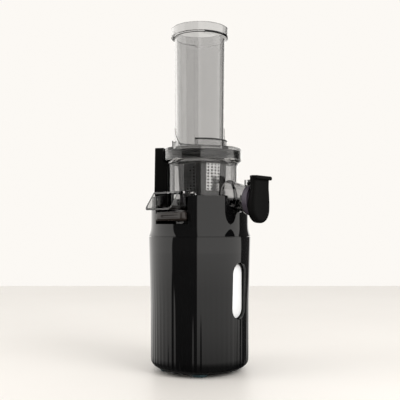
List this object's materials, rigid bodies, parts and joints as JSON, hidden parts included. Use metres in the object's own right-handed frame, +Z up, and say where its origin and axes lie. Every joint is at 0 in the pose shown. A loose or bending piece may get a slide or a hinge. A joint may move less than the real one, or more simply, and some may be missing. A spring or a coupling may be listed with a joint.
{
  "type": "cold press juicer",
  "caption": "Slim upright cold press juicer: fluted motor base, clear bowl with capped juice spout and pulp chute, twist lid and tall feed tube.",
  "frame": {"origin": "on the axis of the motor base, at the level of the table", "axes": "+Z up, -Y is the front with the control and the juice spout, the pulp spout points to -X"},
  "size_m": [0.1314, 0.1455, 0.3896],
  "materials": {
    "gloss_black": "polished ABS",
    "gloss_black_trim": "polished ABS",
    "matt_black": "fine matt",
    "reed_glass": "clear",
    "foot_rubber": "matt",
    "screw_steel": "zinc plated",
    "board_green": "solder mask",
    "zinc_steel": "zinc plated",
    "magnet_grey": "sintered",
    "carbon": "pressed carbon",
    "bronze": "sintered",
    "grey_nylon": "glass filled",
    "ground_steel": "ground",
    "black_silicone": "satin",
    "white_control": "satin white",
    "core_steel": "laminated",
    "copper_wire": "lacquered",
    "copper_bars": "turned",
    "fan_plastic": "natural",
    "gear_nylon": "natural",
    "smoked_clear": "smoked, polished",
    "smoked_frame": "smoked, polished",
    "smoked_tube": "smoked, polished",
    "mesh_steel": "stamped stainless sheet",
    "auger_black": "satin",
    "grey_silicone": "satin",
    "dark_silicone": "glossy",
    "clear_silicone": "translucent"
  },
  "bodies": {
    "base": {"base_housing": "gloss_black", "neck_shroud": "gloss_black", "interlock_tower": "matt_black", "reed_switch": "reed_glass", "bottom_cover": "matt_black", "bottom_frame": "matt_black", "rubber_feet": "foot_rubber", "bottom_screws": "screw_steel", "switch_bezel": "gloss_black_trim", "switch_body": "matt_black", "rocker_pin": "screw_steel", "power_board": "board_green", "cord_gland": "foot_rubber", "motor_can": "zinc_steel", "stator_magnets": "magnet_grey", "motor_end_cap": "matt_black", "carbon_brushes": "carbon", "motor_bushes": "bronze", "motor_screws": "screw_steel", "gearbox_base": "grey_nylon", "gearbox_cover": "grey_nylon", "gearbox_screws": "screw_steel", "neck_screws": "screw_steel", "gear_axle_pins": "ground_steel", "shaft_bearings": "ground_steel", "shaft_seal": "black_silicone"},
    "rocker": {"rocker_switch": "white_control"},
    "rotor": {"motor_shaft": "ground_steel", "armature_core": "core_steel", "armature_windings": "copper_wire", "commutator": "copper_bars", "motor_fan": "fan_plastic", "motor_pinion": "ground_steel"},
    "first_gear": {"first_reduction_gear": "gear_nylon"},
    "second_gear": {"second_reduction_gear": "gear_nylon"},
    "output": {"output_gear": "core_steel", "drive_shaft": "ground_steel"},
    "bowl": {"juice_bowl": "smoked_clear", "cap_pin": "ground_steel", "strainer_frame": "smoked_frame", "strainer_mesh": "mesh_steel", "bowl_hub_seal": "black_silicone"},
    "auger": {"auger": "auger_black", "auger_drive_socket": "ground_steel"},
    "cap": {"juice_cap": "matt_black", "cap_seal": "grey_silicone"},
    "plug": {"pulp_plug": "dark_silicone"},
    "lid_ring": {"lid_seal": "clear_silicone"},
    "lid": {"lid": "smoked_clear", "lid_magnet": "ground_steel"},
    "tube_ring": {"tube_seal": "clear_silicone"},
    "tube": {"feed_tube": "smoked_tube"}
  },
  "joints": [
    {"name": "rocker_tilt", "type": "hinge", "parent": "base", "child": "rocker", "pos_m": [0, -0.0462, 0.0928], "axis": [1, 0, 0], "range_deg": [-4.5, 4.5]},
    {"name": "rotor_spin", "type": "hinge", "parent": "base", "child": "rotor", "pos_m": [0, -0.0042, 0.066], "axis": [0, 0, 1], "continuous": true},
    {"name": "first_gear_spin", "type": "hinge", "parent": "base", "child": "first_gear", "pos_m": [0.01669, 0.00855, 0.112], "axis": [0, 0, 1], "continuous": true},
    {"name": "second_gear_spin", "type": "hinge", "parent": "base", "child": "second_gear", "pos_m": [0, 0.0258, 0.125], "axis": [0, 0, 1], "continuous": true},
    {"name": "output_spin", "type": "hinge", "parent": "base", "child": "output", "pos_m": [0, -0.0042, 0.14], "axis": [0, 0, 1], "continuous": true},
    {"name": "bowl_lift", "type": "slide", "parent": "base", "child": "bowl", "axis": [0, 0, 1], "range_m": [0, 0.095]},
    {"name": "auger_spin", "type": "hinge", "parent": "bowl", "child": "auger", "pos_m": [0, -0.0042, 0.2], "axis": [0, 0, 1], "continuous": true},
    {"name": "cap_swing", "type": "hinge", "parent": "bowl", "child": "cap", "pos_m": [0, -0.072, 0.2114], "axis": [-1, 0, 0], "range_deg": [0, 85]},
    {"name": "plug_pull", "type": "slide", "parent": "bowl", "child": "plug", "axis": [-0.9945, 0.1045, 0], "range_m": [0, 0.03]},
    {"name": "lid_turn", "type": "hinge", "parent": "bowl", "child": "lid_ring", "pos_m": [0, -0.0042, 0.246], "axis": [0, 0, 1], "range_deg": [-30, 0]},
    {"name": "lid_lift", "type": "slide", "parent": "lid_ring", "child": "lid", "axis": [0, 0, 1], "range_m": [0, 0.04]},
    {"name": "tube_turn", "type": "hinge", "parent": "lid", "child": "tube_ring", "pos_m": [0, 0, 0.252], "axis": [0, 0, 1], "range_deg": [-35, 0]},
    {"name": "tube_lift", "type": "slide", "parent": "tube_ring", "child": "tube", "axis": [0, 0, 1], "range_m": [0, 0.03]}
  ],
  "couplings": [
    {"joint": "first_gear_spin", "follows": "rotor_spin", "ratio": -0.25},
    {"joint": "second_gear_spin", "follows": "rotor_spin", "ratio": 0.0625},
    {"joint": "output_spin", "follows": "rotor_spin", "ratio": -0.015625},
    {"joint": "auger_spin", "follows": "rotor_spin", "ratio": -0.015625}
  ]
}
